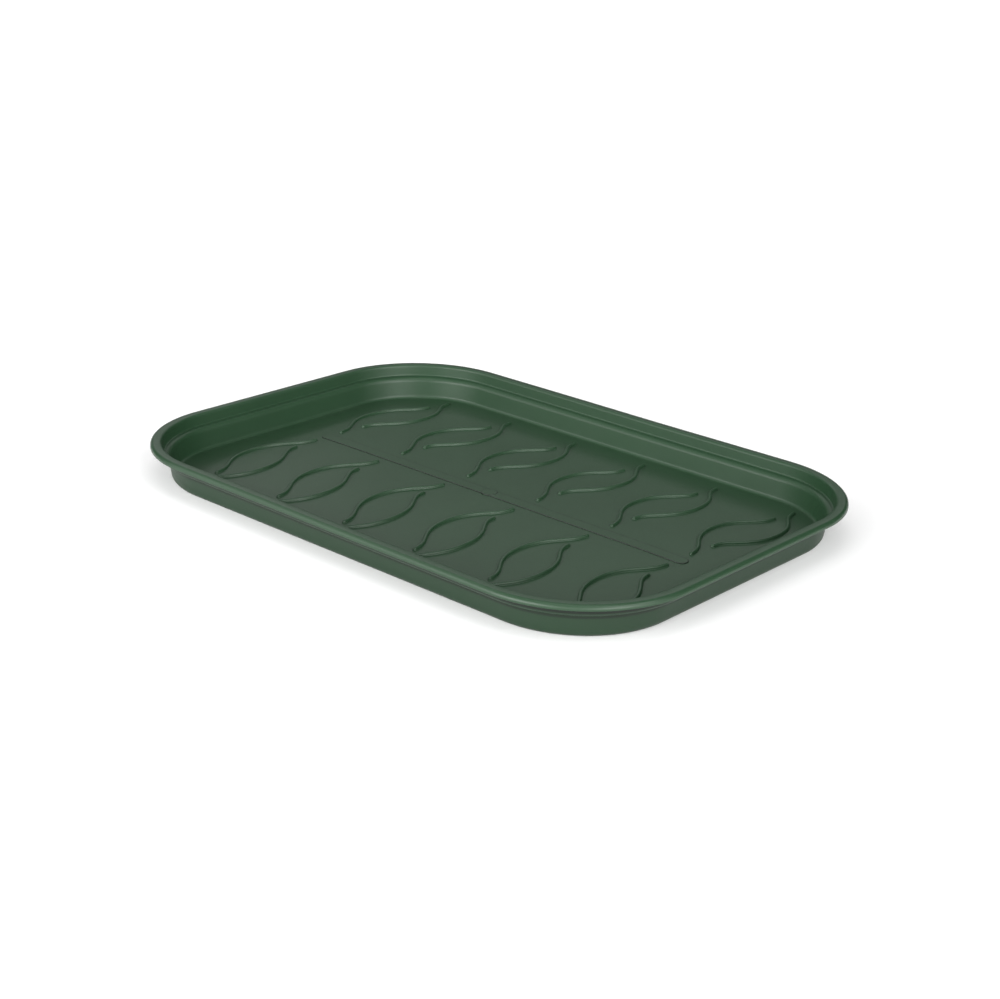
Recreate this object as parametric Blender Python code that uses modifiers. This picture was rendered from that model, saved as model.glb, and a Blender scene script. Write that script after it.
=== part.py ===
"""Grow tray saucer: one moulded tray with a rolled rim, a stepped wall, a gently domed floor,
and a floor relief of two rows of leaf figures either side of a long centre band."""

import math

import bmesh
import bpy
import numpy as np

# Outline of the rim, in metres. X is the long axis, Y the short axis, Z is up.
LENGTH = 0.500
WIDTH = 0.353
HEIGHT = 0.030
CORNER_RADIUS = 0.092
WALL = 0.0020

# Rolled rim and its turned-down lip.
LIP_FOOT_HEIGHT = 0.0262
RIM_OUTER_RADIUS = 0.0032
RIM_INNER_RADIUS = 0.0036
RIM_FLAT = 0.0024

# Wall below the rim: an upper wall, a soft ledge, a lower wall and the fillet into the floor.
UPPER_DRAFT = math.radians(6.0)
LEDGE_HEIGHT = 0.0203
LEDGE_FILLET = 0.0012
LEDGE_FLAT = 0.0004
LEDGE_ROUND = 0.0045
LOWER_DRAFT = math.radians(8.0)
FOOT_FILLET = 0.0030
LAND_INSET = 0.0280

# Floor: flat resting land all round, domed inside it.
CROWN = 0.0038
DOME_LONG_POWER = 10
DOME_CROSS_POWER = 2.4
DOME_RUN_IN = 0.020

# Floor relief.
FIGURE_COLUMNS = 6
FIGURE_PITCH = 0.0726
FIGURE_SHIFT = 0.0016
FIGURE_CENTRE = 0.0785
RIB_WIDTH = 0.0030
RIB_HEIGHT = 0.0021
RIB_TIP = 0.0016
BAND_LENGTH = 0.375
BAND_WIDTH = 0.0113
BAND_HEIGHT = 0.0006
PAD_DIAMETER = 0.0130
PAD_HEIGHT = 0.0008
RELIEF_ROOT = 0.0010

# One rib, in metres from the middle of its leaf figure; the other rib is the same one turned half round.
RIB_LINE = [
    (-0.0007, -0.0659),
    (-0.0033, -0.0543),
    (-0.0127, -0.0387),
    (-0.0190, -0.0232),
    (-0.0202, -0.0080),
    (-0.0179, 0.0054),
    (-0.0101, 0.0204),
    (-0.0030, 0.0310),
    (-0.0009, 0.0424),
]

# How finely round shapes are divided.
CORNER_STEPS = 8
LONG_STEPS = 6
SHORT_STEPS = 4
ROUND_STEPS = 4
TURN_STEPS = 3
FILLET_STEPS = 2
DOME_STEPS = 4
DOME_SPREAD = 1.2
RIB_STEPS = 2
PAD_STEPS = 24
BAND_END_STEPS = 8
BAND_STATIONS = 10

COLLECTION = "grow_tray_saucer"
TOOLS = "grow_tray_saucer_tools"


def clear_scene():
    """Remove whatever the scene starts with."""
    for thing in list(bpy.data.objects):
        bpy.data.objects.remove(thing, do_unlink=True)


def collection(name):
    """A collection of this name, linked to the scene."""
    found = bpy.data.collections.new(name)
    bpy.context.scene.collection.children.link(found)
    return found


def add_object(name, mesh, home):
    """A mesh object in its collection."""
    thing = bpy.data.objects.new(name, mesh)
    home.objects.link(thing)
    return thing


def outline(length, width, radius, long_steps, short_steps, corner_steps):
    """Rounded rectangle from the middle of the right end, anticlockwise; corner points may coincide."""
    half_x, half_y = length / 2 - radius, width / 2 - radius
    corners = [(half_x, half_y), (-half_x, half_y), (-half_x, -half_y), (half_x, -half_y)]
    points = []
    for quarter, (cx, cy) in enumerate(corners):
        for step in range(corner_steps + 1):
            angle = math.pi / 2 * (quarter + step / corner_steps)
            points.append((cx + radius * math.cos(angle), cy + radius * math.sin(angle)))
        nx, ny = corners[(quarter + 1) % 4]
        side_steps = long_steps if quarter % 2 == 0 else short_steps
        angle = math.pi / 2 * (quarter + 1)
        ox, oy = radius * math.cos(angle), radius * math.sin(angle)
        for step in range(1, side_steps):
            share = step / side_steps
            points.append((cx + (nx - cx) * share + ox, cy + (ny - cy) * share + oy))
    return points


def arc(centre, radius, start, end, steps):
    """Points of an arc in the section plane, angles in degrees."""
    angles = np.radians(np.linspace(start, end, steps + 1))
    return [(centre[0] + radius * math.cos(a), centre[1] + radius * math.sin(a)) for a in angles]


def fillet_below(start, draft, height, radius):
    """Centre of a hollow fillet that meets a drafted wall from start and then lies flat at height."""
    centre_z = height + radius
    touch_z = centre_z - radius * math.sin(draft)
    touch_x = start[0] + (start[1] - touch_z) * math.tan(draft)
    return touch_x + radius * math.cos(draft), centre_z


def section():
    """Upper face of the tray from the lip's free edge to the floor, as (inset, height)."""
    upper, lower = math.degrees(UPPER_DRAFT), math.degrees(LOWER_DRAFT)
    points = [(0.0, LIP_FOOT_HEIGHT)]
    points += arc((RIM_OUTER_RADIUS, HEIGHT - RIM_OUTER_RADIUS), RIM_OUTER_RADIUS, 180, 90, ROUND_STEPS)
    rim_centre = (RIM_OUTER_RADIUS + RIM_FLAT, HEIGHT - RIM_INNER_RADIUS)
    points += arc(rim_centre, RIM_INNER_RADIUS, 90, upper, ROUND_STEPS)
    ledge = fillet_below(points[-1], UPPER_DRAFT, LEDGE_HEIGHT, LEDGE_FILLET)
    points += arc(ledge, LEDGE_FILLET, 180 + upper, 270, FILLET_STEPS)
    turn = (ledge[0] + LEDGE_FLAT, LEDGE_HEIGHT - LEDGE_ROUND)
    points += arc(turn, LEDGE_ROUND, 90, lower, TURN_STEPS)
    foot = fillet_below(points[-1], LOWER_DRAFT, WALL, FOOT_FILLET)
    points += arc(foot, FOOT_FILLET, 180 + lower, 270, TURN_STEPS)
    points.append((LAND_INSET, WALL))
    return points


def floor_height(x, y):
    """Height of the floor's upper face: flat on the land, rising smoothly to the crown inside it."""
    half_x, half_y = LENGTH / 2 - LAND_INSET, WIDTH / 2 - LAND_INSET
    radius = CORNER_RADIUS - LAND_INSET
    over_x = max(abs(x) - (half_x - radius), 0.0)
    over_y = max(abs(y) - (half_y - radius), 0.0)
    if over_x > 0 and over_y > 0:
        depth = radius - math.hypot(over_x, over_y)
    else:
        depth = min(half_x - abs(x), half_y - abs(y))
    share = min(max(depth / DOME_RUN_IN, 0.0), 1.0)
    run_in = share * share * (3 - 2 * share)
    along = 1 - min(abs(x) / half_x, 1.0) ** DOME_LONG_POWER
    across = 1 - min(abs(y) / half_y, 1.0) ** DOME_CROSS_POWER
    return WALL + CROWN * along * across * run_in


def floor_rings():
    """Insets of the rings that carry the dome from the land to the inner rectangle."""
    shares = [(step / DOME_STEPS) ** DOME_SPREAD for step in range(1, DOME_STEPS + 1)]
    return [LAND_INSET + (CORNER_RADIUS - LAND_INSET) * share for share in shares]


def shell_sheet():
    """The tray's upper face as one sheet: rings round the wall, then a grid across the middle."""
    mesh = bpy.data.meshes.new("saucer")
    sheet = bmesh.new()
    rings = []
    levels = [(inset, height) for inset, height in section()]
    levels += [(inset, None) for inset in floor_rings()]
    for inset, height in levels:
        radius = max(CORNER_RADIUS - inset, 0.0)
        points = outline(LENGTH - 2 * inset, WIDTH - 2 * inset, radius, LONG_STEPS, SHORT_STEPS, CORNER_STEPS)
        ring = [sheet.verts.new((x, y, floor_height(x, y) if height is None else height)) for x, y in points]
        rings.append(ring)
    for outer, inner in zip(rings, rings[1:]):
        for here in range(len(outer)):
            there = (here + 1) % len(outer)
            sheet.faces.new((outer[here], outer[there], inner[there], inner[here]))
    fill_grid(sheet)
    bmesh.ops.remove_doubles(sheet, verts=sheet.verts[:], dist=1e-6)
    bmesh.ops.recalc_face_normals(sheet, faces=sheet.faces[:])
    bmesh.ops.triangulate(sheet, faces=[face for face in sheet.faces if not is_flat(face)])
    sheet.to_mesh(mesh)
    sheet.free()
    return mesh


def is_flat(face):
    """Whether every corner of the face lies in its plane."""
    here = face.calc_center_median()
    return all(abs((vert.co - here).dot(face.normal)) < 1e-6 for vert in face.verts)


def fill_grid(sheet):
    """Close the sheet inside the last ring, where the corners have shrunk to points."""
    half_x, half_y = LENGTH / 2 - CORNER_RADIUS, WIDTH / 2 - CORNER_RADIUS
    xs = np.linspace(-half_x, half_x, LONG_STEPS + 1)
    ys = np.linspace(-half_y, half_y, SHORT_STEPS + 1)
    grid = [[sheet.verts.new((x, y, floor_height(x, y))) for x in xs] for y in ys]
    for row, above in zip(grid, grid[1:]):
        for step in range(LONG_STEPS):
            sheet.faces.new((row[step], row[step + 1], above[step + 1], above[step]))


def rib_points(turn, mirror, column):
    """Centreline of one rib on the floor: turn is 1 or -1 for the two ribs of a figure, mirror for the row."""
    line = list(RIB_LINE)
    first, second = np.array(line[0]), np.array(line[1])
    last, before = np.array(line[-1]), np.array(line[-2])
    line.insert(1, tuple(first + (second - first) * RIB_TIP / np.linalg.norm(second - first)))
    line.insert(-1, tuple(last + (before - last) * RIB_TIP / np.linalg.norm(before - last)))
    middle = FIGURE_SHIFT + FIGURE_PITCH * (column - (FIGURE_COLUMNS - 1) / 2)
    points = []
    for x, y in line:
        px = middle + turn * x
        py = mirror * (FIGURE_CENTRE + turn * y)
        points.append((px, py, floor_height(px, py) + RIB_HEIGHT - RIB_WIDTH / 2))
    return points


def rib_curve():
    """All the ribs as one bevelled curve with closed ends."""
    data = bpy.data.curves.new("ribs", "CURVE")
    data.dimensions = "3D"
    data.bevel_depth = RIB_WIDTH / 2
    data.bevel_resolution = 1
    data.resolution_u = RIB_STEPS
    data.use_fill_caps = True
    for column in range(FIGURE_COLUMNS):
        for mirror in (1, -1):
            for turn in (1, -1):
                points = rib_points(turn, mirror, column)
                spline = data.splines.new("BEZIER")
                spline.bezier_points.add(len(points) - 1)
                for knot, place in zip(spline.bezier_points, points):
                    knot.co = place
                    knot.handle_left_type = "AUTO"
                    knot.handle_right_type = "AUTO"
                spline.bezier_points[0].radius = 0.5
                spline.bezier_points[-1].radius = 0.5
    return data


def mesh_from_curve(data, name, home):
    """Turn a curve into a closed mesh object, welding the end caps on."""
    guide = bpy.data.objects.new(name + "_guide", data)
    home.objects.link(guide)
    bpy.context.view_layer.update()
    evaluated = guide.evaluated_get(bpy.context.evaluated_depsgraph_get())
    mesh = bpy.data.meshes.new_from_object(evaluated)
    welded = bmesh.new()
    welded.from_mesh(mesh)
    bmesh.ops.remove_doubles(welded, verts=welded.verts[:], dist=1e-6)
    bmesh.ops.recalc_face_normals(welded, faces=welded.faces[:])
    welded.to_mesh(mesh)
    welded.free()
    thing = add_object(name, mesh, home)
    thing.matrix_world = guide.matrix_world
    bpy.data.objects.remove(guide, do_unlink=True)
    return thing


def raised_plate(name, points, stations, rise, home):
    """A low plate of this outline that follows the dome, with its root inside the floor."""
    mesh = bpy.data.meshes.new(name)
    plate = bmesh.new()
    plate.faces.new([plate.verts.new((x, y, 0.0)) for x, y in points])
    for place in stations:
        parts = plate.verts[:] + plate.edges[:] + plate.faces[:]
        bmesh.ops.bisect_plane(plate, geom=parts, dist=1e-7, plane_co=(place, 0, 0), plane_no=(1, 0, 0))
    for vert in plate.verts:
        vert.co.z = floor_height(vert.co.x, vert.co.y) + rise
    top = plate.faces[:]
    grown = bmesh.ops.extrude_face_region(plate, geom=top)
    for vert in [item for item in grown["geom"] if isinstance(item, bmesh.types.BMVert)]:
        vert.co.z -= rise + RELIEF_ROOT
    bmesh.ops.recalc_face_normals(plate, faces=plate.faces[:])
    plate.to_mesh(mesh)
    plate.free()
    return add_object(name, mesh, home)


def centre_band(home):
    """The long raised band with round ends along the middle of the floor."""
    radius = BAND_WIDTH / 2
    points = outline(BAND_LENGTH, BAND_WIDTH, radius, 1, 1, BAND_END_STEPS)
    kept = [point for here, point in enumerate(points) if math.dist(point, points[here - 1]) > 1e-6]
    reach = BAND_LENGTH / 2 - radius
    stations = np.linspace(-reach, reach, BAND_STATIONS + 1)
    shifted = [(x + FIGURE_SHIFT, y) for x, y in kept]
    return raised_plate("band", shifted, [x + FIGURE_SHIFT for x in stations], BAND_HEIGHT, home)


def centre_pad(home):
    """The round pad in the middle of the band."""
    radius = PAD_DIAMETER / 2
    angles = [2 * math.pi * step / PAD_STEPS for step in range(PAD_STEPS)]
    points = [(radius * math.cos(a), radius * math.sin(a)) for a in angles]
    return raised_plate("pad", points, [], PAD_HEIGHT, home)


def unite(base, tools):
    """Join the relief to the tray as one solid."""
    for tool in tools:
        tool.hide_render = True
        tool.display_type = "WIRE"
        joint = base.modifiers.new(tool.name, "BOOLEAN")
        joint.operation = "UNION"
        joint.solver = "EXACT"
        joint.object = tool


def green_plastic():
    """Dark green semi-matt plastic."""
    material = bpy.data.materials.new("green_plastic")
    material.use_nodes = True
    shader = material.node_tree.nodes["Principled BSDF"]
    shader.inputs["Base Color"].default_value = (0.055, 0.105, 0.062, 1.0)
    shader.inputs["Roughness"].default_value = 0.38
    shader.inputs["Metallic"].default_value = 0.0
    return material


def main():
    """Build the saucer."""
    clear_scene()
    home = collection(COLLECTION)
    workshop = collection(TOOLS)
    saucer = add_object("saucer", shell_sheet(), home)
    saucer.data.materials.append(green_plastic())
    thicken = saucer.modifiers.new("wall", "SOLIDIFY")
    thicken.thickness = WALL
    thicken.offset = -1.0
    thicken.use_even_offset = True
    ribs = mesh_from_curve(rib_curve(), "ribs", workshop)
    unite(saucer, [centre_band(workshop), centre_pad(workshop), ribs])
    saucer.data.shade_smooth()
    saucer.data.set_sharp_from_angle(angle=math.radians(35))


main()
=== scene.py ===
"""Looks of the grow tray saucer: its moulded shell, floor ribs, centre band, plastic and studio."""

import logging
import math
from dataclasses import dataclass, field
from enum import Enum

import bmesh
import bpy
import numpy as np
from bpy.types import ID, Material, Mesh, Node, NodeTree, Object
from bpy.types import NodeSocket as Socket
from mathutils import Matrix, Vector


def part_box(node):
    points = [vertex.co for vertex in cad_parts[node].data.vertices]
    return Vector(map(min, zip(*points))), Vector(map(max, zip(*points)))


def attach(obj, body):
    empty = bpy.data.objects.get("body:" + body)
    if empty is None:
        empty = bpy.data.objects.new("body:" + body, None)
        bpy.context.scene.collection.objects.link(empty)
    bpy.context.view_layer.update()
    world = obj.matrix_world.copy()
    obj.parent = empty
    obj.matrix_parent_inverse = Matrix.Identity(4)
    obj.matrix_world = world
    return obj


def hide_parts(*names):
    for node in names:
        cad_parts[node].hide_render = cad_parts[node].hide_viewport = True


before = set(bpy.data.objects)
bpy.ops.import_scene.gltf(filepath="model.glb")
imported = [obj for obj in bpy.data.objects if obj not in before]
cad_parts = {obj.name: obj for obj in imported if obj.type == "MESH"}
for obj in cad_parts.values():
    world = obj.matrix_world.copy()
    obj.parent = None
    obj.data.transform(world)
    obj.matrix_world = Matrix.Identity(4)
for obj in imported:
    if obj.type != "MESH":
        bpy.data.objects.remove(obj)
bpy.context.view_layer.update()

NODE = "saucer"
BODY = "root"
WELD_DISTANCE = 2e-7
SHORTEST_EDGE = 1e-8
log = logging.getLogger("grow_tray_saucer")

# What an input can be fed with.
Feed = Socket | float | tuple[float, ...]


class Row(Enum):
    """The two rows of leaf figures, either side of the centre band, by the sign of their y."""

    FAR = 1
    NEAR = -1


class Turn(Enum):
    """The two ribs of a leaf figure: the second is the first turned half round."""

    FIRST = 1
    SECOND = -1


def smooth_step(share: np.ndarray) -> np.ndarray:
    """Ease a share between 0 and 1: three times its square less twice its cube.

    Args:
        share: Values of any range, held to 0 and 1.

    Returns:
        The eased values, of the same shape.
    """
    held = np.clip(share, 0.0, 1.0)
    return held * held * (3.0 - 2.0 * held)


def natural_spline(knots: np.ndarray, places: np.ndarray) -> np.ndarray:
    """Points of the natural cubic spline through the knots, by chord length.

    The second derivatives at the knots solve the usual three-band system with free ends.

    Args:
        knots: Knots as rows of x and y.
        places: Shares of the whole chord length, from 0 to 1.

    Returns:
        One row of x and y for each place.
    """
    steps = np.hypot(*np.diff(knots, axis=0).T)
    reach = np.concatenate([[0.0], np.cumsum(steps)])
    count = len(knots)
    bands = np.zeros((count, count))
    bands[0, 0] = bands[-1, -1] = 1.0
    inner = np.arange(1, count - 1)
    bands[inner, inner - 1] = steps[:-1]
    bands[inner, inner] = 2.0 * (steps[:-1] + steps[1:])
    bands[inner, inner + 1] = steps[1:]
    slopes = np.diff(knots, axis=0) / steps[:, None]
    bends = np.zeros_like(knots)
    bends[1:-1] = 6.0 * np.diff(slopes, axis=0)
    second = np.linalg.solve(bands, bends)
    along = places * reach[-1]
    here = np.clip(np.searchsorted(reach, along, side="right") - 1, 0, count - 2)
    width = steps[here][:, None]
    before = (along - reach[here])[:, None]
    after = width - before
    return (
        (second[here] * after**3 + second[here + 1] * before**3) / (6.0 * width)
        + (knots[here] / width - second[here] * width / 6.0) * after
        + (knots[here + 1] / width - second[here + 1] * width / 6.0) * before
    )


@dataclass(frozen=True)
class Floor:
    """The tray's floor: a flat resting land all round, domed inside it. Sizes are in metres."""

    length: float
    width: float
    corner_radius: float = 0.092
    wall: float = 0.0020
    land_inset: float = 0.0280
    crown: float = 0.0038
    long_power: float = 10.0
    cross_power: float = 2.4
    run_in: float = 0.020

    def height(self, x: np.ndarray, y: np.ndarray) -> np.ndarray:
        """Height of the upper face: the wall, plus the crown times its falling off along and across.

        Args:
            x: Places along the tray.
            y: Places across the tray.

        Returns:
            The heights, of the same shape.
        """
        half_x = self.length / 2 - self.land_inset
        half_y = self.width / 2 - self.land_inset
        radius = self.corner_radius - self.land_inset
        over_x = np.maximum(np.abs(x) - (half_x - radius), 0.0)
        over_y = np.maximum(np.abs(y) - (half_y - radius), 0.0)
        side = np.minimum(half_x - np.abs(x), half_y - np.abs(y))
        corner = radius - np.hypot(over_x, over_y)
        depth = np.where((over_x > 0) & (over_y > 0), corner, side)
        along = 1.0 - np.minimum(np.abs(x) / half_x, 1.0) ** self.long_power
        across = 1.0 - np.minimum(np.abs(y) / half_y, 1.0) ** self.cross_power
        return self.wall + self.crown * along * across * smooth_step(depth / self.run_in)


@dataclass
class SectionLine:
    """A smooth line in the wall's section, gathered as points and their tangents."""

    points: list[np.ndarray] = field(default_factory=list)
    tangents: list[np.ndarray] = field(default_factory=list)

    def arc(self, centre: tuple[float, float], radius: float, start: float, end: float, steps: int) -> None:
        """Add an arc about a centre.

        Args:
            centre: Inset and height of the centre.
            radius: Radius of the arc.
            start: First angle in degrees.
            end: Last angle in degrees.
            steps: Number of pieces it is divided into.
        """
        angles = np.radians(np.linspace(start, end, steps + 1))
        way = math.copysign(1.0, end - start)
        ray = np.stack([np.cos(angles), np.sin(angles)], axis=1)
        self.points.append(np.array(centre) + radius * ray)
        self.tangents.append(way * np.stack([-ray[:, 1], ray[:, 0]], axis=1))

    def line(self, start: tuple[float, float], end: tuple[float, float], steps: int) -> None:
        """Add the inner points of a straight stretch, closer together near its ends.

        Args:
            start: Inset and height where it starts.
            end: Inset and height where it ends.
            steps: Number of pieces it is divided into.
        """
        shares = smooth_step(np.linspace(0.0, 1.0, steps + 1))[1:-1, None]
        first, last = np.array(start), np.array(end)
        self.points.append(first + (last - first) * shares)
        way = (last - first) / np.linalg.norm(last - first)
        self.tangents.append(np.tile(way, (steps - 1, 1)))

    def end(self) -> tuple[float, float]:
        """Inset and height of the last point so far."""
        return tuple(self.points[-1][-1])

    def faces(self, wall: float) -> tuple[np.ndarray, np.ndarray]:
        """The upper face, and the under face one wall thickness inside it along the normal.

        Args:
            wall: Thickness of the wall.

        Returns:
            Rows of inset and height for the upper face and for the under face.
        """
        upper = np.concatenate(self.points)
        tangent = np.concatenate(self.tangents)
        inwards = np.stack([tangent[:, 1], -tangent[:, 0]], axis=1)
        return upper, upper + wall * inwards


@dataclass(frozen=True)
class Wall:
    """Rolled rim, ledge and wall of the tray, in metres, with drafts in degrees.

    Insets are measured from the rim's outermost line.
    """

    height: float
    thickness: float
    land_inset: float
    lip_foot: float = 0.0265
    rim_outer_radius: float = 0.0032
    rim_inner_radius: float = 0.0022
    rim_flat: float = 0.0038
    upper_draft: float = 6.0
    ledge_height: float = 0.0203
    ledge_fillet: float = 0.0012
    ledge_flat: float = 0.0004
    ledge_round: float = 0.0045
    lower_draft: float = 8.0
    foot_fillet: float = 0.0030
    lip_edge_radius: float = 0.0005
    lip_edge_overlap: float = 0.0002
    flat_steps: int = 4
    upper_steps: int = 5
    lower_steps: int = 8
    fillet_steps: int = 8
    bend_steps: int = 12
    rim_steps: int = 14
    lip_edge_steps: int = 6

    def hollow(
        self, start: tuple[float, float], draft: float, level: float, radius: float
    ) -> tuple[float, float]:
        """Centre of a hollow fillet that meets a drafted wall from start and lies flat at a level.

        Args:
            start: Inset and height where the drafted wall starts.
            draft: Draft of the wall in degrees.
            level: Height at which the fillet lies flat.
            radius: Radius of the fillet.

        Returns:
            Inset and height of the fillet's centre.
        """
        lean = math.radians(draft)
        touch = level + radius - radius * math.sin(lean)
        inset = start[0] + (start[1] - touch) * math.tan(lean)
        return inset + radius * math.cos(lean), level + radius

    def line(self) -> SectionLine:
        """The section's upper face, from the lip's free edge over the rim and down to the land.

        Returns:
            The line with its tangents.
        """
        made = SectionLine()
        crown = self.height - self.rim_outer_radius
        made.line((0.0, self.lip_foot - self.lip_edge_overlap), (0.0, crown), self.flat_steps)
        made.arc((self.rim_outer_radius, crown), self.rim_outer_radius, 180, 90, self.rim_steps)
        shoulder = (self.rim_outer_radius + self.rim_flat, self.height - self.rim_inner_radius)
        made.arc(shoulder, self.rim_inner_radius, 90, self.upper_draft, self.rim_steps)
        start = made.end()
        ledge = self.hollow(start, self.upper_draft, self.ledge_height, self.ledge_fillet)
        foot = (ledge[0] - self.ledge_fillet * math.cos(math.radians(self.upper_draft)), ledge[1])
        made.line(start, foot, self.upper_steps)
        made.arc(ledge, self.ledge_fillet, 180 + self.upper_draft, 270, self.fillet_steps)
        turn = (ledge[0] + self.ledge_flat, self.ledge_height - self.ledge_round)
        made.arc(turn, self.ledge_round, 90, self.lower_draft, self.bend_steps)
        start = made.end()
        foot = self.hollow(start, self.lower_draft, self.thickness, self.foot_fillet)
        touch = math.radians(180 + self.lower_draft)
        end = (foot[0] + self.foot_fillet * math.cos(touch), foot[1] + self.foot_fillet * math.sin(touch))
        made.line(start, end, self.lower_steps)
        made.arc(foot, self.foot_fillet, 180 + self.lower_draft, 270, self.bend_steps)
        made.line(made.end(), (self.land_inset, self.thickness), self.flat_steps)
        return made

    def nose(self, outer: np.ndarray, inner: np.ndarray) -> np.ndarray:
        """The lip's free edge: a small round from the outer face, a flat, a small round to the inner.

        Args:
            outer: Inset and height of the outer face's lowest point.
            inner: Inset and height of the inner face's lowest point.

        Returns:
            Rows of inset and height from outer to inner, both ends left out.
        """
        radius = self.lip_edge_radius
        angles = np.radians(np.linspace(180.0, 270.0, self.lip_edge_steps))[1:]
        ray = np.stack([np.cos(angles), np.sin(angles)], axis=1)
        first = np.array([outer[0] + radius, outer[1]]) + radius * ray
        last = np.array([inner[0] - radius, inner[1]]) + radius * ray[::-1] * np.array([-1.0, 1.0])
        return np.concatenate([first, last])


@dataclass(frozen=True)
class RingCore:
    """What a family of offset rounded rectangles shares: their corner centres and outward normals."""

    half_x: float
    half_y: float
    long_steps: int
    short_steps: int
    corner_steps: int

    def path(self) -> tuple[np.ndarray, np.ndarray]:
        """Walk once round the core, anticlockwise from the far right corner.

        The normal turns about each corner's centre and stays put along each side.

        Returns:
            Rows of core points and rows of outward unit normals.
        """
        corners = np.array([[1, 1], [-1, 1], [-1, -1], [1, -1]]) * np.array([self.half_x, self.half_y])
        cores, normals = [], []
        for quarter in range(4):
            angles = np.pi / 2 * (quarter + np.linspace(0.0, 1.0, self.corner_steps + 1))
            ray = np.stack([np.cos(angles), np.sin(angles)], axis=1)
            cores.append(np.tile(corners[quarter], (len(angles), 1)))
            normals.append(ray)
            steps = self.long_steps if quarter % 2 == 0 else self.short_steps
            shares = np.linspace(0.0, 1.0, steps + 1)[1:-1, None]
            there = corners[(quarter + 1) % 4]
            cores.append(corners[quarter] + (there - corners[quarter]) * shares)
            normals.append(np.tile(ray[-1], (steps - 1, 1)))
        return np.concatenate(cores), np.concatenate(normals)


def grid_faces(rows: int, columns: int, start: int, closed: bool) -> np.ndarray:
    """Corner indices of the quads of a grid of points held row after row.

    Args:
        rows: Number of rows of points.
        columns: Number of points in a row.
        start: Index of the first point.
        closed: Whether the last column joins the first.

    Returns:
        Rows of four indices.
    """
    across = np.arange(columns if closed else columns - 1)
    down = np.arange(rows - 1)[:, None] * columns
    here, there = across, (across + 1) % columns
    quads = [down + here, down + columns + here, down + columns + there, down + there]
    return start + np.stack(quads, axis=-1).reshape(-1, 4)


def finished_mesh(
    name: str, points: np.ndarray, quads: np.ndarray, marks: dict[str, np.ndarray]
) -> Mesh:
    """Put whole arrays into a mesh, close its seams and poles, and face it outwards.

    Args:
        name: Name of the mesh.
        points: Rows of x, y and z.
        quads: Rows of four indices.
        marks: Values on the points for the finish and painted shade, by name; one left out is 0 everywhere.

    Returns:
        The welded mesh, shaded smooth.
    """
    mesh = bpy.data.meshes.new(name)
    mesh.from_pydata(points.tolist(), [], quads.tolist())
    for mark, values in marks.items():
        layer = mesh.attributes.new(mark, "FLOAT", "POINT")
        layer.data.foreach_set("value", values.astype(np.float32).ravel())
    work = bmesh.new()
    work.from_mesh(mesh)
    bmesh.ops.remove_doubles(work, verts=work.verts[:], dist=WELD_DISTANCE)
    bmesh.ops.dissolve_degenerate(work, edges=work.edges[:], dist=SHORTEST_EDGE)
    bmesh.ops.recalc_face_normals(work, faces=work.faces[:])
    work.to_mesh(mesh)
    work.free()
    mesh.shade_smooth()
    return mesh


def put_in_scene(name: str, data: ID) -> Object:
    """Make an object of a mesh, a light or a camera, and link it to the scene."""
    made = bpy.data.objects.new(name, data)
    bpy.context.scene.collection.objects.link(made)
    return made


def settle_piece(name: str, mesh: Mesh, finish: Material) -> Object:
    """Make a mesh a piece of the saucer: dressed, riding on its body and standing for the solid.

    Args:
        name: Name of the piece.
        mesh: Its mesh, with its place in it.
        finish: Its material.

    Returns:
        The piece.
    """
    piece = put_in_scene(name, mesh)
    mesh.materials.append(finish)
    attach(piece, BODY)
    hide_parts(NODE)
    mesh.calc_loop_triangles()
    log.info("%s: %d triangles", name, len(mesh.loop_triangles))
    return piece


def bell(values: np.ndarray, middle: float, width: float) -> np.ndarray:
    """Bell curve: one at the middle, falling off with the square of the distance over the width."""
    return np.exp(-(((values - middle) / width) ** 2))


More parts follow.
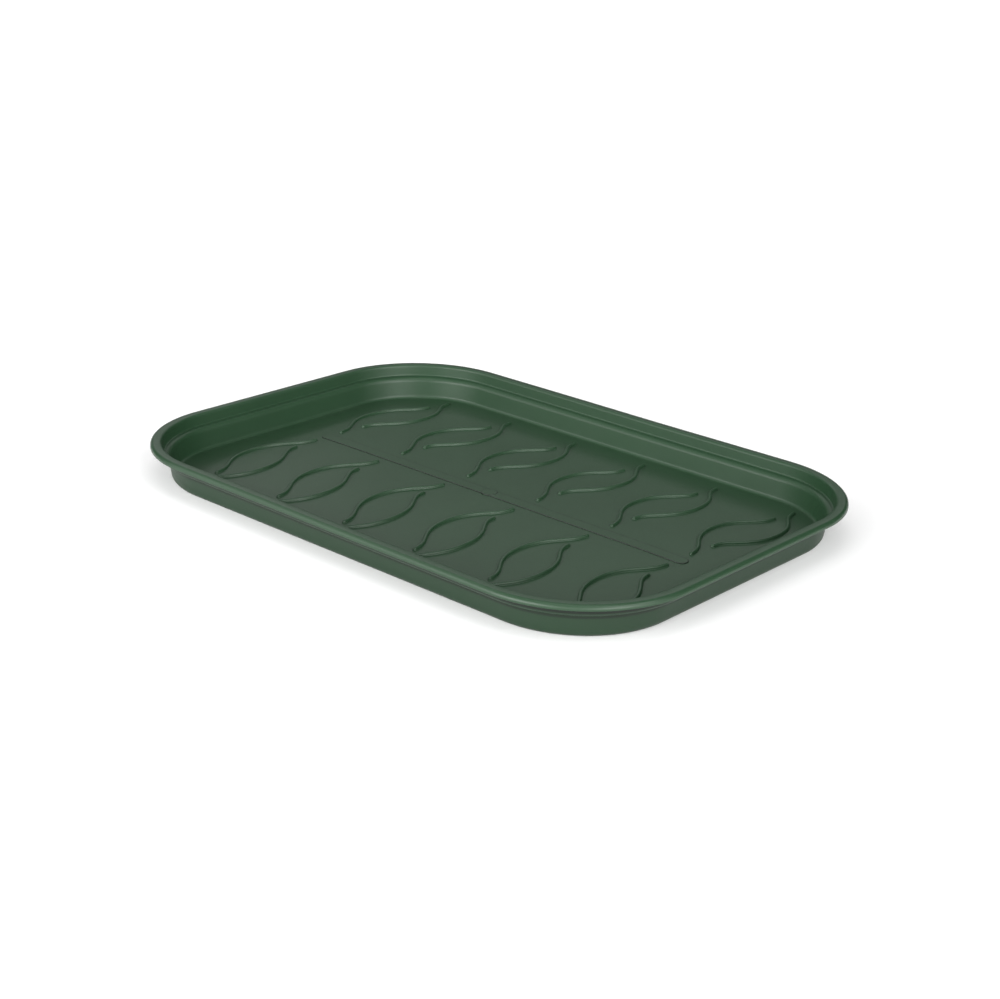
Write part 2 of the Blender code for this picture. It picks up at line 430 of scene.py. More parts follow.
@dataclass
class Shell:
    """The moulded shell: floor, wall, ledge and rolled rim in one closed skin.

    The marks say where the finish changes: rub on crests, grain on the outside, settle where dust lies
    at the wall's foot, and sheen on the rim's outer face.
    """

    floor: Floor
    wall: Wall
    long_steps: int = 44
    short_steps: int = 24
    corner_steps: int = 32
    dome_rings: int = 14
    dome_spacing: float = 1.15
    rim_sag: float = 0.0003
    sag_middle: float = 0.030
    sag_reach: float = 0.070
    sag_starts: float = 0.6
    sag_eases: float = 0.3
    rim_rub_width: float = 0.0007
    ledge_rub_width: float = 0.0005
    ledge_rub: float = 0.4
    sheen_inset: float = 0.0030
    sheen_eases: float = 0.0020
    sheen_below_lip: float = 0.0004
    settle_inset: float = 0.0215
    settle_width: float = 0.0035
    settle_top: float = 0.012
    grain_top: float = 0.0275
    grain_eases: float = 0.002

    def chain(self) -> dict[str, np.ndarray]:
        """Rings from the middle of the floor over the rim and back underneath to the middle.

        Each ring is an inset and a height, or a height over the domed floor where it follows it.

        Returns:
            Arrays by name: inset, height, follow, and the marks rub, grain, settle and sheen.
        """
        upper, under = self.wall.line().faces(self.wall.thickness)
        nose = self.wall.nose(upper[0], under[0])
        radius = self.floor.corner_radius
        shares = (np.arange(1, self.dome_rings + 1) / self.dome_rings) ** self.dome_spacing
        dome = self.floor.land_inset + (radius - self.floor.land_inset) * shares
        flat = np.zeros_like(dome)
        inset = np.concatenate([dome[::-1], upper[::-1, 0], nose[:, 0], under[:, 0], dome])
        height = np.concatenate([flat, upper[::-1, 1], nose[:, 1], under[:, 1], flat - self.floor.wall])
        edge = np.zeros(len(upper) * 2 + len(nose))
        follow = np.concatenate([flat + 1, edge, flat + 1])
        inner_rings = len(dome) + len(upper) + len(nose)
        outside = np.repeat([0.0, 1.0], [inner_rings, len(under) + len(dome)])
        inside = 1 - outside
        off_floor = inside * (1 - follow)
        rub = bell(height, self.wall.height, self.rim_rub_width) * inside
        ledge = bell(height, self.wall.ledge_height, self.ledge_rub_width) * off_floor
        outer = off_floor * (1 - smooth_step((inset - self.sheen_inset) / self.sheen_eases))
        over_lip = height - self.wall.lip_foot + self.sheen_below_lip
        settle = bell(inset, self.settle_inset, self.settle_width) * inside * (height < self.settle_top)
        return {
            "inset": inset,
            "height": height,
            "follow": follow,
            "rub": np.maximum(rub, self.ledge_rub * ledge),
            "grain": outside * smooth_step((self.grain_top - height) / self.grain_eases),
            "settle": settle,
            "sheen": smooth_step(over_lip / (2 * self.sheen_below_lip)) * outer,
        }

    def sag(self, points: np.ndarray) -> np.ndarray:
        """How far the long sides hang: a bell curve along the rim, nothing at the ends or the foot.

        Args:
            points: Rows of x, y and z.

        Returns:
            Drop of each point, in metres.
        """
        along = bell(points[:, 0], self.sag_middle, self.sag_reach)
        out = np.abs(points[:, 1]) / (self.floor.width / 2)
        side = smooth_step((out - self.sag_starts) / self.sag_eases)
        return self.rim_sag * along * side * points[:, 2] / self.wall.height

    def build(self, finish: Material) -> Object:
        """Sweep the chain of rings round the core and close it with a grid on each face.

        Args:
            finish: Material of the shell.

        Returns:
            The piece.
        """
        radius = self.floor.corner_radius
        half_x, half_y = self.floor.length / 2 - radius, self.floor.width / 2 - radius
        ring = RingCore(half_x, half_y, self.long_steps, self.short_steps, self.corner_steps)
        core, normal = ring.path()
        chain = self.chain()
        reach = (radius - chain["inset"])[:, None, None]
        flat = core[None] + normal[None] * reach
        lift = self.floor.height(flat[..., 0], flat[..., 1])
        level = chain["height"][:, None] + chain["follow"][:, None] * lift
        rings = np.concatenate([flat, level[..., None]], axis=2).reshape(-1, 3)
        rows, columns = len(chain["inset"]), len(core)
        points, quads = [rings], [grid_faces(rows, columns, 0, True)]
        grid_x, grid_y = np.meshgrid(
            np.linspace(-half_x, half_x, self.long_steps + 1),
            np.linspace(-half_y, half_y, self.short_steps + 1),
        )
        for drop, order in ((0.0, 1), (self.floor.wall, -1)):
            grid_z = self.floor.height(grid_x, grid_y) - drop
            start = sum(len(part) for part in points)
            points.append(np.stack([grid_x, grid_y, grid_z], axis=2).reshape(-1, 3))
            quads.append(grid_faces(*grid_x.shape, start, False)[:, ::order])
        everything = np.concatenate(points)
        everything[:, 2] -= self.sag(everything)
        spare = np.zeros(len(everything) - len(rings))
        names = ("rub", "grain", "settle", "sheen")
        marks = {mark: np.concatenate([np.repeat(chain[mark], columns), spare]) for mark in names}
        marks["grain"][-grid_x.size :] = 1.0
        mesh = finished_mesh("saucer_shell", everything, np.concatenate(quads), marks)
        return settle_piece("saucer_shell", mesh, finish)


@dataclass
class LeafRow:
    """One row of leaf figures: each is two S-shaped ribs, the second turned half round."""

    floor: Floor
    row: Row
    columns: int = 6
    pitch: float = 0.0726
    shift: float = 0.0016
    centre: float = 0.0785
    crest_height: float = 0.0021
    crest_radius: float = 0.00135
    side_draft: float = 8.0
    root_fillet: float = 0.0004
    root_depth: float = 0.0009
    tip_length: float = 0.0022
    foot_overlap: float = 0.0001
    foot_taper: float = 0.8
    crest_share: float = 0.25
    settle_width: float = 0.0003
    stations: int = 110
    crest_steps: int = 10
    root_steps: int = 6
    tip_steps: int = 12
    knots: tuple[tuple[float, float], ...] = (
        (-0.0007, -0.0659),
        (-0.0033, -0.0543),
        (-0.0095, -0.0438),
        (-0.0162, -0.0325),
        (-0.0197, -0.0201),
        (-0.0202, -0.0080),
        (-0.0183, 0.0039),
        (-0.0132, 0.0154),
        (-0.0062, 0.0255),
        (-0.0019, 0.0340),
        (-0.0009, 0.0424),
    )

    def section(self) -> np.ndarray:
        """Right half of the rib's section: round crest, drafted side, hollow root and buried foot.

        Returns:
            Rows of distance from the middle and height over the floor, from the crest down.
        """
        lean = math.radians(self.side_draft)
        crest = np.radians(np.linspace(90.0, self.side_draft, self.crest_steps))
        top = np.stack([np.cos(crest), np.sin(crest)], axis=1) * self.crest_radius
        top[:, 1] += self.crest_height - self.crest_radius
        side, level = top[-1]
        touch = self.root_fillet * (1.0 - math.sin(lean))
        foot = side + (level - touch) * math.tan(lean) + self.root_fillet * math.cos(lean)
        sweep = np.radians(np.linspace(180.0 + self.side_draft, 270.0, self.root_steps))
        root = np.stack([np.cos(sweep), 1.0 + np.sin(sweep)], axis=1) * self.root_fillet
        root[:, 0] += foot
        buried = np.array([[foot, -self.foot_overlap], [foot * self.foot_taper, -self.root_depth]])
        return np.concatenate([top, root, buried])

    def centreline(self) -> tuple[np.ndarray, np.ndarray, np.ndarray]:
        """The first rib's centreline, its normals, and how full the rib is at each station.

        The tips close as quarter ellipses: fullness is the root of one less the square of the share left.

        Returns:
            Rows of x and y, rows of unit normals, and the fullness from 0 to 1.
        """
        knots = np.array(self.knots)
        total = np.hypot(*np.diff(knots, axis=0).T).sum()
        tip = self.tip_length / total
        turn = np.radians(np.linspace(0.0, 90.0, self.tip_steps))[:-1]
        start = tip * (1.0 - np.cos(turn))
        middle = np.linspace(tip, 1.0 - tip, self.stations)
        places = np.concatenate([start, middle, 1.0 - start[::-1]])
        full = np.concatenate([np.sin(turn), np.ones(self.stations), np.sin(turn)[::-1]])
        line = natural_spline(knots, places)
        ahead = np.gradient(line, axis=0)
        ahead /= np.linalg.norm(ahead, axis=1)[:, None]
        return line, np.stack([-ahead[:, 1], ahead[:, 0]], axis=1), full

    def build(self, finish: Material) -> Object:
        """Carry the section along every rib of the row, following the floor under each point.

        Args:
            finish: Material of the ribs.

        Returns:
            The piece.
        """
        line, normal, full = self.centreline()
        half = self.section()
        ring = np.concatenate([half, half[::-1] * np.array([-1.0, 1.0])])
        across, up = ring[:, 0], ring[:, 1]
        crest = smooth_step((up / self.crest_height - 1.0 + self.crest_share) / self.crest_share)
        rub = np.tile(crest, (len(line), 1))
        settle = np.tile(bell(up, 0.0, self.settle_width), (len(line), 1))
        points, quads, rubs, settles = [], [], [], []
        for column in range(self.columns):
            middle = self.shift + self.pitch * (column - (self.columns - 1) / 2)
            for turn in Turn:
                flat = line[:, None] + normal[:, None] * (across[None] * full[:, None])[..., None]
                x = middle + turn.value * flat[..., 0]
                y = self.row.value * (self.centre + turn.value * flat[..., 1])
                z = self.floor.height(x, y) + up[None] * full[:, None]
                start = sum(len(part) for part in points)
                points.append(np.stack([x, y, z], axis=2).reshape(-1, 3))
                quads.append(grid_faces(len(line), len(ring), start, True))
                rubs.append(rub.ravel())
                settles.append(settle.ravel())
        marks = {"rub": np.concatenate(rubs), "settle": np.concatenate(settles)}
        name = f"ribs_{self.row.name.lower()}_row"
        mesh = finished_mesh(name, np.concatenate(points), np.concatenate(quads), marks)
        return settle_piece(name, mesh, finish)


@dataclass
class RaisedPlate:
    """A low plate with round ends that follows the floor, such as the centre band or its pad."""

    floor: Floor
    name: str
    length: float
    width: float
    rise: float
    shift: float = 0.0
    edge_radius: float = 0.00025
    root_fillet: float = 0.00015
    root_depth: float = 0.0007
    foot_overlap: float = 0.0001
    rub_width: float = 0.0006
    rub_share: float = 0.2
    settle_width: float = 0.0001
    # Painted shade: within this inset the plate's edge and foot are darkened to stand in for shadow.
    edge_painted_shade_inset: float = 0.0005
    edge_painted_shade_eases: float = 0.0004
    side_draft: float = 10.0
    fillet_steps: int = 5
    top_steps: int = 6
    long_steps: int = 60
    corner_steps: int = 14

    def chain(self) -> tuple[np.ndarray, np.ndarray]:
        """Insets and heights over the floor, from the buried foot up over the edge to the middle.

        Returns:
            The insets and the heights.
        """
        hollow = np.radians(np.linspace(270.0, 180.0 + self.side_draft, self.fillet_steps))
        root = self.root_fillet * np.stack([np.cos(hollow), 1.0 + np.sin(hollow)], axis=1)
        round_off = np.radians(np.linspace(180.0 - self.side_draft, 90.0, self.top_steps))
        edge = np.stack([np.cos(round_off), np.sin(round_off)], axis=1) * self.edge_radius
        edge += np.array([self.edge_radius, self.rise - self.edge_radius])
        radius = self.width / 2
        top = np.linspace(self.edge_radius, radius, self.top_steps)[1:]
        inset = np.concatenate([[radius, 0.0, 0.0], root[:, 0], edge[:, 0], top])
        buried = [-self.root_depth, -self.root_depth, -self.foot_overlap]
        level = np.concatenate([buried, root[:, 1], edge[:, 1], top * 0 + self.rise])
        return inset, level

    def build(self, finish: Material) -> Object:
        """Sweep the chain round the plate's core, which is a line or a point.

        Args:
            finish: Material of the plate.

        Returns:
            The piece.
        """
        radius = self.width / 2
        ring = RingCore(self.length / 2 - radius, 0.0, self.long_steps, 2, self.corner_steps)
        core, normal = ring.path()
        inset, level = self.chain()
        flat = core[None] + normal[None] * (radius - inset)[:, None, None]
        flat[..., 0] += self.shift
        height = self.floor.height(flat[..., 0], flat[..., 1]) + level[:, None]
        points = np.concatenate([flat, height[..., None]], axis=2).reshape(-1, 3)
        quads = grid_faces(len(inset), len(core), 0, True)
        rub = smooth_step(level / self.rise) * bell(inset, 0.0, self.rub_width) * self.rub_share
        # Painted shade along the plate's edge and foot.
        edge_painted_shade = smooth_step((self.edge_painted_shade_inset - inset) / self.edge_painted_shade_eases)
        settle = bell(level, 0.0, self.settle_width)
        rings = {"rub": rub, "settle": settle, "edge_painted_shade": edge_painted_shade}
        marks = {mark: np.repeat(values, len(core)) for mark, values in rings.items()}
        return settle_piece(self.name, finished_mesh(self.name, points, quads, marks), finish)


@dataclass(frozen=True)
class Cloud:
    """Cloudy noise: cells a metre, octaves and their roughness, and the weight of its value."""

    scale: float
    detail: float
    roughness: float
    weight: float = 1.0


@dataclass
class NodeBench:
    """Adds and joins the nodes of one tree, laid out in a line."""

    tree: NodeTree
    spacing: int = 190

    def add(self, kind: str, settings: dict | None = None, **inputs: Feed) -> Node:
        """Add a node and feed its inputs.

        Args:
            kind: Blender's type name of the node.
            settings: Properties of the node itself.
            inputs: A value or an output socket for each input, by its name in lower case.

        Returns:
            The node.
        """
        node = self.tree.nodes.new(kind)
        node.location = (len(self.tree.nodes) * self.spacing, 0)
        for name, value in (settings or {}).items():
            setattr(node, name, value)
        for name, value in inputs.items():
            self.feed(self.socket(node, name), value)
        return node

    @staticmethod
    def socket(node: Node, name: str) -> Socket:
        """Find an input of a node.

        Args:
            node: The node.
            name: The input's name in lower case with underscores, or at_ and its place.

        Returns:
            The input, which is enabled where it goes by name.
        """
        if name.startswith("at_"):
            return node.inputs[int(name[3:])]
        return next(s for s in node.inputs if s.enabled and s.name.lower().replace(" ", "_") == name)

    def feed(self, socket: Socket, value: Feed) -> None:
        """Join an output to an input, or set the input's own value.

        Args:
            socket: The input.
            value: The output socket, or the value.
        """
        if isinstance(value, Socket):
            self.tree.links.new(value, socket)
        else:
            socket.default_value = value

    def maths(self, operation: str, first: Feed, second: Feed = 0.0) -> Socket:
        """Result of a sum on one or two values."""
        return self.add("ShaderNodeMath", {"operation": operation}, at_0=first, at_1=second).outputs[0]

    def blend(self, share: Feed, first: Feed, second: Feed) -> Socket:
        """Colour between two colours.

        Args:
            share: Share of the second colour.
            first: First colour, a socket or three numbers.
            second: Second colour, likewise.

        Returns:
            The mixed colour.
        """
        ends = [end if isinstance(end, Socket) else (*end, 1.0) for end in (first, second)]
        node = self.add("ShaderNodeMix", {"data_type": "RGBA"}, at_0=share, at_6=ends[0], at_7=ends[1])
        return node.outputs[2]

    def span(self, value: Feed, low: float, high: float, to_low: float, to_high: float) -> Socket:
        """Value carried from one range to another, held at its ends."""
        node = self.add(
            "ShaderNodeMapRange", value=value, from_min=low, from_max=high, to_min=to_low, to_max=to_high
        )
        return node.outputs[0]

    def noise(self, place: Feed, cloud: Cloud, finer: Feed = 1.0) -> Socket:
        """Cloudy value at a place.

        Args:
            place: The place.
            cloud: Kind of cloud.
            finer: How many times finer than the cloud it is.

        Returns:
            The value, from 0 to the cloud's weight.
        """
        scale = self.maths("MULTIPLY", finer, cloud.scale)
        looks = {"scale": scale, "detail": cloud.detail, "roughness": cloud.roughness}
        node = self.add("ShaderNodeTexNoise", vector=place, **looks)
        return self.maths("MULTIPLY", node.outputs[0], cloud.weight)

    def effect(self, group: NodeTree, *values: Feed) -> list[Socket]:
        """Place a shared effect and feed its inputs.

        Args:
            group: The effect.
            values: A value or an output socket for each input, in their order.

        Returns:
            The effect's outputs.
        """
        node = self.add("ShaderNodeGroup", {"node_tree": group})
        for socket, value in zip(node.inputs, values):
            self.feed(socket, value)
        return list(node.outputs)


COARSE_PITS = Cloud(1300.0, 3.0, 0.6, weight=0.6)
FINE_PITS = Cloud(3200.0, 2.0, 0.5, weight=0.4)
PEBBLE = Cloud(620.0, 2.0, 0.5, weight=0.22)
MOTTLE = Cloud(900.0, 4.0, 0.7)
SLOW_DRIFT = Cloud(1.0, 3.0, 0.55, weight=0.7)
FAST_DRIFT = Cloud(7.0, 2.0, 0.5, weight=0.3)
RUB_BREAKS = Cloud(160.0, 5.0, 0.7)
RUB_SPAN = (0.38, 0.72, 0.15, 1.0)
SPECK_SCALE = 260.0
SPECK_SPAN = (0.03, 0.07, 1.0, 0.0)
SPECK_FIELDS = Cloud(70.0, 1.0, 0.5)
SPECK_FIELD_SPAN = (0.60, 0.64, 0.0, 1.0)
FILM_PATCHES = Cloud(55.0, 4.0, 0.6)
FILM_SPAN = (0.35, 0.75, 0.0, 0.5)


def effect_group(
    name: str, inputs: dict[str, float], outputs: tuple[str, ...]
) -> tuple[NodeBench, list[Socket], list[Socket]]:
    """Start a shared effect, which takes a place and some numbers and puts out numbers.

    Args:
        name: Name of the group.
        inputs: Its numbers after the place, with their usual values.
        outputs: Names of what it puts out.

    Returns:
        A bench on the group's tree, what comes in (the place first) and where the results go.
    """
    tree = bpy.data.node_groups.new(name, "ShaderNodeTree")
    tree.interface.new_socket("Place", in_out="INPUT", socket_type="NodeSocketVector")
    for number, usual in inputs.items():
        made = tree.interface.new_socket(number, in_out="INPUT", socket_type="NodeSocketFloat")
        made.default_value = usual
    for number in outputs:
        tree.interface.new_socket(number, in_out="OUTPUT", socket_type="NodeSocketFloat")
    bench = NodeBench(tree)
    into = bench.add("NodeGroupInput").outputs[: len(inputs) + 1]
    return bench, into, bench.add("NodeGroupOutput").inputs[: len(outputs)]


def mould_texture_group() -> NodeTree:
    """Surface left by the mould: fine spark-eroded pits where grained, a faint pebble elsewhere.

    Returns:
        The group, from a place and a grain mask to a height and a mottle.
    """
    bench, (place, grain, fineness), (height, mottle) = effect_group(
        "mould_texture", {"Grain": 0.0, "Fineness": 1.0}, ("Height", "Mottle")
    )
    coarse, fine, pebble = (bench.noise(place, c, fineness) for c in (COARSE_PITS, FINE_PITS, PEBBLE))
    deeper = bench.maths("SUBTRACT", bench.maths("ADD", coarse, fine), pebble)
    bench.feed(height, bench.maths("ADD", pebble, bench.maths("MULTIPLY", deeper, grain)))
    bench.feed(mottle, bench.noise(place, MOTTLE, fineness))
    return bench.tree


def pigment_drift_group() -> NodeTree:
    """Slow change of the pigment across the moulding, from flow and cooling.

    Returns:
        The group, from a place and a fineness to a drift around one half.
    """
    bench, (place, fineness), (drift,) = effect_group("pigment_drift", {"Fineness": 9.0}, ("Drift",))
    slow, fast = (bench.noise(place, c, fineness) for c in (SLOW_DRIFT, FAST_DRIFT))
    bench.feed(drift, bench.maths("ADD", slow, fast))
    return bench.tree


def edge_rub_group() -> NodeTree:
    """Light rubbing along crests, broken up so that it comes and goes.

    Returns:
        The group, from a place, a crest mask and an amount to a mask.
    """
    bench, (place, crest, amount), (mask,) = effect_group(
        "edge_rub", {"Crest": 0.0, "Amount": 0.5}, ("Mask",)
    )
    broken = bench.span(bench.noise(place, RUB_BREAKS), *RUB_SPAN)
    bench.feed(mask, bench.maths("MULTIPLY", bench.maths("MULTIPLY", crest, broken), amount))
    return bench.tree


def fine_dust_group() -> NodeTree:
    """Sparse pale specks, and a thin film where dust settles against a root.

    Returns:
        The group, from a place, a settling mask and an amount to a mask.
    """
    bench, (place, settle, amount), (mask,) = effect_group(
        "fine_dust", {"Settle": 0.0, "Amount": 0.5}, ("Mask",)
    )
    cells = bench.add("ShaderNodeTexVoronoi", vector=place, scale=SPECK_SCALE)
    speck = bench.span(cells.outputs["Distance"], *SPECK_SPAN)
    chosen = bench.span(bench.noise(place, SPECK_FIELDS), *SPECK_FIELD_SPAN)
    patchy = bench.span(bench.noise(place, FILM_PATCHES), *FILM_SPAN)
    film = bench.maths("MULTIPLY", settle, patchy)
    specks = bench.maths("MULTIPLY", speck, chosen)
    bench.feed(mask, bench.maths("MULTIPLY", bench.maths("MAXIMUM", specks, film), amount))
    return bench.tree


@dataclass(frozen=True)
class Effects:
    """The effects that every plastic here shares."""

    texture: NodeTree
    drift: NodeTree
    rub: NodeTree
    dust: NodeTree

    @classmethod
    def build(cls) -> "Effects":
        """Build each effect once."""
        return cls(mould_texture_group(), pigment_drift_group(), edge_rub_group(), fine_dust_group())


@dataclass(frozen=True)
class GreenPlastic:
    """Dark green semi-matt plastic, moulded smooth inside and finely grained outside.

    The heights under the lip and under the ledge, which are on the outside, and the edge at the foot of a
    raised plate are painted darker: painted shade standing in for the shadow that falls there.
    """

    name: str
    deep: tuple[float, float, float] = (0.0134, 0.0390, 0.0172)
    light: tuple[float, float, float] = (0.0150, 0.0432, 0.0192)
    rubbed: tuple[float, float, float] = (0.0260, 0.0560, 0.0330)
    dusty: tuple[float, float, float] = (0.100, 0.120, 0.100)
    roughness: float = 0.42
    grained_roughness: float = 0.45
    grained_shade: float = 0.74
    refraction: float = 1.40
    coat: float = 0.05
    rim_coat: float = 0.16
    coat_roughness: float = 0.22
    rub_amount: float = 0.35
    dust_amount: float = 0.15
    drift_fineness: float = 9.0
    drift_span: tuple[float, float] = (0.35, 0.65)
    mottle_span: tuple[float, float] = (0.3, 0.7)
    fineness: float = 1.0
    texture_depth: float = 0.00006
    mottle_depth: float = 0.025
    rub_polish: float = 0.08
    dust_dulling: float = 0.4
    # Painted shade under the lip and the ledge: heights where the colour darkens to stand in for shadow.
    lip_painted_shade: tuple[float, float] = (0.0200, 0.0210)
    ledge_painted_shade: tuple[float, float, float, float] = (0.0138, 0.0150, 0.0158, 0.0170)
    ledge_painted_shade_share: float = 0.8
    painted_shade_factor: float = 0.3

    def painted_shade_mask(self, bench: NodeBench, place: Socket) -> Socket:
        """Mask of painted shade: the heights that lie under the lip and under the ledge, where shadow
        falls.

        Args:
            bench: Bench of the material.
            place: Place on the piece.

        Returns:
            The mask, from 0 to 1.
        """
        level = bench.add("ShaderNodeSeparateXYZ", vector=place).outputs["Z"]
        lip = bench.span(level, *self.lip_painted_shade, 0.0, 1.0)
        rising = bench.span(level, *self.ledge_painted_shade[:2], 0.0, self.ledge_painted_shade_share)
        falling = bench.span(level, *self.ledge_painted_shade[2:], 1.0, 0.0)
        return bench.maths("MAXIMUM", lip, bench.maths("MULTIPLY", rising, falling))

    def build(self, effects: Effects) -> Material:
        """Make the material from the shared effects with this finish's own values.

        Args:
            effects: The shared effects.

        Returns:
            The material.
        """
        material = bpy.data.materials.new(self.name)
        material.use_nodes = True
        bench = NodeBench(material.node_tree)
        shader = material.node_tree.nodes["Principled BSDF"]
        place = bench.add("ShaderNodeTexCoord").outputs["Object"]
        crest, grain, settle, sheen, edge_painted_shade = (
            bench.add("ShaderNodeAttribute", {"attribute_name": mark}).outputs["Fac"]
            for mark in ("rub", "grain", "settle", "sheen", "edge_painted_shade")
        )
        height, mottle = bench.effect(effects.texture, place, grain, self.fineness)
        (drift,) = bench.effect(effects.drift, place, self.drift_fineness)
        (rub,) = bench.effect(effects.rub, place, crest, self.rub_amount)
        (dust,) = bench.effect(effects.dust, place, settle, self.dust_amount)
        share = bench.span(drift, *self.drift_span, 0.0, 1.0)
        shaded = tuple(value * self.grained_shade for value in self.deep)
        base = bench.blend(grain, bench.blend(share, self.deep, self.light), shaded)
        # Painted shade: darker under the lip, the ledge and a plate's edge, standing in for shadow; rub is
        # wear.
        painted_shade = bench.maths("MAXIMUM", bench.maths("MULTIPLY", self.painted_shade_mask(bench, place), grain), edge_painted_shade)
        painted_shade_colour = tuple(value * self.painted_shade_factor for value in shaded)
        painted_shade_and_wear = bench.blend(rub, bench.blend(painted_shade, base, painted_shade_colour), self.rubbed)
        bench.feed(shader.inputs["Base Color"], bench.blend(dust, painted_shade_and_wear, self.dusty))
        gap = self.grained_roughness - self.roughness
        even = bench.maths("ADD", bench.maths("MULTIPLY", grain, gap), self.roughness)
        swing = bench.span(mottle, *self.mottle_span, -self.mottle_depth, self.mottle_depth)
        mottled = bench.maths("ADD", even, swing)
        rubbed = bench.maths("SUBTRACT", mottled, bench.maths("MULTIPLY", rub, self.rub_polish))
        dulled = bench.maths("MULTIPLY", dust, self.dust_dulling)
        bench.feed(shader.inputs["Roughness"], bench.maths("ADD", rubbed, dulled))
        bump = bench.add("ShaderNodeBump", height=height, strength=1.0, distance=self.texture_depth)
        bench.feed(shader.inputs["Normal"], bump.outputs[0])
        shader.inputs["IOR"].default_value = self.refraction
        smooth = bench.span(grain, 0.0, 1.0, 1.0, 0.0)
        coat = bench.span(sheen, 0.0, 1.0, self.coat, self.rim_coat)
        bench.feed(shader.inputs["Coat Weight"], bench.maths("MULTIPLY", coat, smooth))
        shader.inputs["Coat Roughness"].default_value = self.coat_roughness
        return material


def toward(azimuth: float, elevation: float) -> Vector:
    """Unit vector from the tray's middle at an azimuth and an elevation in degrees."""
    around, up = math.radians(azimuth), math.radians(elevation)
    return Vector((math.cos(around) * math.cos(up), math.sin(around) * math.cos(up), math.sin(up)))


@dataclass(frozen=True)
class Softbox:
    """A soft square studio light that faces the tray."""

    side: str
    azimuth: float
    elevation: float
    width: float
    height: float
    strength: float
    distance: float = 2.4

    def build(self) -> None:
        """Hang the light on a sphere about the tray; its radiance is its strength."""
        light = bpy.data.lights.new(f"{self.side}_softbox", "AREA")
        light.shape = "RECTANGLE"
        light.size = self.width
        light.size_y = self.height
        light.energy = self.strength * self.width * self.height * math.pi
        way = toward(self.azimuth, self.elevation)
        hung = put_in_scene(light.name, light)
        hung.location = way * self.distance
        hung.rotation_euler = way.to_track_quat("Z", "Y").to_euler()


@dataclass(frozen=True)
class Glow:
    """A broad glow in the surroundings, brightest in one direction."""

    azimuth: float
    elevation: float
    tightness: float
    strength: float

    def build(self, bench: NodeBench, way: Socket) -> Socket:
        """Strength of the glow in a direction: the cosine of the angle from its middle, to a power.

        Args:
            bench: Bench of the surroundings.
            way: Direction looked in.

        Returns:
            The strength there.
        """
        middle = toward(self.azimuth, self.elevation)
        near = bench.add("ShaderNodeVectorMath", {"operation": "DOT_PRODUCT"}, at_0=way, at_1=middle)
        share = bench.maths("POWER", bench.maths("MAXIMUM", near.outputs["Value"], 0.0), self.tightness)
        return bench.maths("MULTIPLY", share, self.strength)


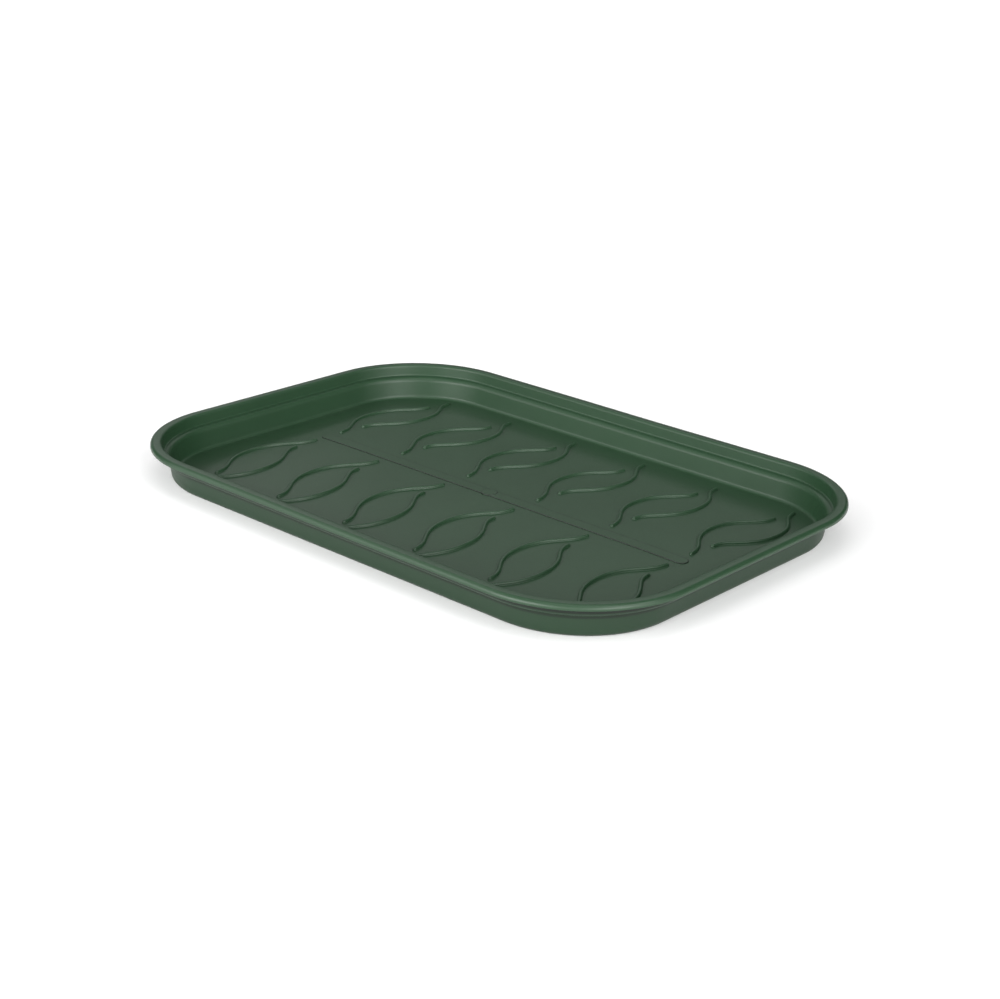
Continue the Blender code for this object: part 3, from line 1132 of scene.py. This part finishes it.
@dataclass(frozen=True)
class Studio:
    """Pale floor, soft surroundings, softboxes and the camera. Angles are in degrees."""

    floor_size: float = 24.0
    floor_clouds: Cloud = Cloud(3.0, 2.0, 0.5)
    floor_colour: tuple[float, float, float] = (0.90, 0.90, 0.90)
    floor_mottle: float = 0.985
    floor_roughness: float = 0.9
    floor_specular: float = 0.1
    floor_glow: float = 0.09
    far_glow: float = 0.75
    glow_from: float = 0.8
    glow_to: float = 3.2
    dimmest_sky: float = 0.02
    glows: tuple[Glow, ...] = (
        Glow(-48.5, 5.0, 1.5, 0.43),
        Glow(-100.0, 8.0, 6.0, 3.5),
        Glow(0.0, 8.0, 6.0, 1.1),
        Glow(-75.0, 10.0, 20.0, 2.2),
        Glow(-20.0, 10.0, 20.0, 9.10),
    )
    softboxes: tuple[Softbox, ...] = (
        Softbox("left", -97.0, 18.0, 1.9, 1.1, 4.6),
        Softbox("right", -3.0, 18.0, 1.9, 1.1, 0.6),
        Softbox("upper_right", 0.0, 45.0, 1.6, 1.0, 3.6),
        Softbox("overhead", -48.0, 80.0, 1.6, 1.6, 1.6),
        Softbox("back", 131.0, 34.0, 2.4, 1.0, 0.9),
        Softbox("upper_back", 131.0, 60.0, 2.0, 1.2, 0.25),
        Softbox("left_back", 155.0, 20.0, 1.2, 0.8, 0.32),
        Softbox("far_left", -139.0, 27.0, 1.6, 1.2, 1.3),
        Softbox("upper_left", -165.0, 52.0, 1.4, 1.0, 1.0),
    )
    azimuth: float = -48.525
    elevation: float = 21.006
    roll: float = 1.854
    distance: float = 1.425487
    target: tuple[float, float] = (0.005404, 0.006522)
    focal_in_widths: float = 1.849976
    sensor_width: float = 36.0

    def build(self) -> None:
        """Set up the floor, the surroundings, the softboxes and the camera."""
        self.build_floor()
        self.build_surroundings()
        for softbox in self.softboxes:
            softbox.build()
        self.build_camera()

    def build_floor(self) -> None:
        """Lay a wide, matt, pale floor under the tray, with a glow of its own that grows further out."""
        half = self.floor_size / 2
        mesh = bpy.data.meshes.new("studio_floor")
        corners = np.array([[-half, -half, 0.0], [half, -half, 0.0], [half, half, 0.0], [-half, half, 0.0]])
        mesh.from_pydata(corners.tolist(), [], [[0, 1, 2, 3]])
        material = bpy.data.materials.new("pale_floor")
        material.use_nodes = True
        bench = NodeBench(material.node_tree)
        shader = material.node_tree.nodes["Principled BSDF"]
        place = bench.add("ShaderNodeTexCoord").outputs["Object"]
        pale = tuple(value * self.floor_mottle for value in self.floor_colour)
        colour = bench.blend(bench.noise(place, self.floor_clouds), self.floor_colour, pale)
        bench.feed(shader.inputs["Base Color"], colour)
        away = bench.add("ShaderNodeVectorMath", {"operation": "LENGTH"}, at_0=place).outputs["Value"]
        share = bench.span(away, self.glow_from, self.glow_to, self.floor_glow, self.far_glow)
        glow = bench.blend(share, (0.0, 0.0, 0.0), (1.0, 1.0, 1.0))
        bench.feed(shader.inputs["Emission Color"], glow)
        shader.inputs["Emission Strength"].default_value = 1.0
        shader.inputs["Roughness"].default_value = self.floor_roughness
        shader.inputs["Specular IOR Level"].default_value = self.floor_specular
        mesh.materials.append(material)
        put_in_scene("studio_floor", mesh)

    def build_surroundings(self) -> None:
        """Light the scene softly from the camera's side, with a dim rest that looks pale itself."""
        world = bpy.data.worlds.new("soft_surroundings")
        bpy.context.scene.world = world
        world.use_nodes = True
        bench = NodeBench(world.node_tree)
        ground = world.node_tree.nodes["Background"]
        way = bench.add("ShaderNodeTexCoord").outputs["Generated"]
        strength = self.dimmest_sky
        for glow in self.glows:
            strength = bench.maths("ADD", glow.build(bench, way), strength)
        seen = bench.add("ShaderNodeLightPath").outputs["Is Camera Ray"]
        bench.feed(ground.inputs["Strength"], bench.maths("MAXIMUM", strength, seen))
        ground.inputs["Color"].default_value = (1.0, 1.0, 1.0, 1.0)

    def build_camera(self) -> None:
        """Stand the camera where the photograph was taken from, with its small roll."""
        roll = math.radians(self.roll)
        back, level = toward(self.azimuth, self.elevation), toward(self.azimuth + 90.0, 0.0)
        plumb = back.cross(level)
        right = level * math.cos(roll) + plumb * math.sin(roll)
        above = plumb * math.cos(roll) - level * math.sin(roll)
        data = bpy.data.cameras.new("camera")
        data.sensor_width = self.sensor_width
        data.sensor_fit = "HORIZONTAL"
        data.lens = self.focal_in_widths * self.sensor_width
        camera = put_in_scene("camera", data)
        turn = Matrix((right, above, back)).transposed().to_4x4()
        place = Vector((*self.target, 0.0)) + back * self.distance
        camera.matrix_world = Matrix.Translation(place) @ turn
        bpy.context.scene.camera = camera
        bpy.context.scene.view_settings.view_transform = "Standard"


@dataclass
class GrowTraySaucer:
    """The whole saucer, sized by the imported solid's box."""

    length: float
    width: float
    height: float

    @classmethod
    def from_frame(cls) -> "GrowTraySaucer":
        """Read the saucer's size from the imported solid."""
        low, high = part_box(NODE)
        return cls(high.x - low.x, high.y - low.y, high.z - low.z)

    def build(self) -> list[Object]:
        """Build and dress every piece.

        Returns:
            The pieces, in the order they were made.
        """
        effects = Effects.build()
        shell_finish = GreenPlastic("saucer_plastic").build(effects)
        relief_finish = GreenPlastic("relief_plastic", rub_amount=0.5, dust_amount=0.25).build(effects)
        floor = Floor(self.length, self.width)
        wall = Wall(self.height, floor.wall, floor.land_inset)
        pieces = [Shell(floor, wall).build(shell_finish)]
        pieces += [LeafRow(floor, row).build(relief_finish) for row in Row]
        band = RaisedPlate(floor, "centre_band", length=0.375, width=0.0113, rise=0.0006, shift=0.0016)
        pad = RaisedPlate(
            floor, "centre_pad", length=0.0130, width=0.0130, rise=0.0008, edge_radius=0.0003, long_steps=2
        )
        return pieces + [plate.build(relief_finish) for plate in (band, pad)]


def main() -> None:
    """Build the saucer and its studio, and report each piece."""
    logging.basicConfig(level=logging.INFO, format="%(name)s: %(message)s")
    Studio().build()
    pieces = GrowTraySaucer.from_frame().build()
    log.info("%d pieces: %s", len(pieces), ", ".join(piece.name for piece in pieces))


if __name__ == "__main__":
    main()
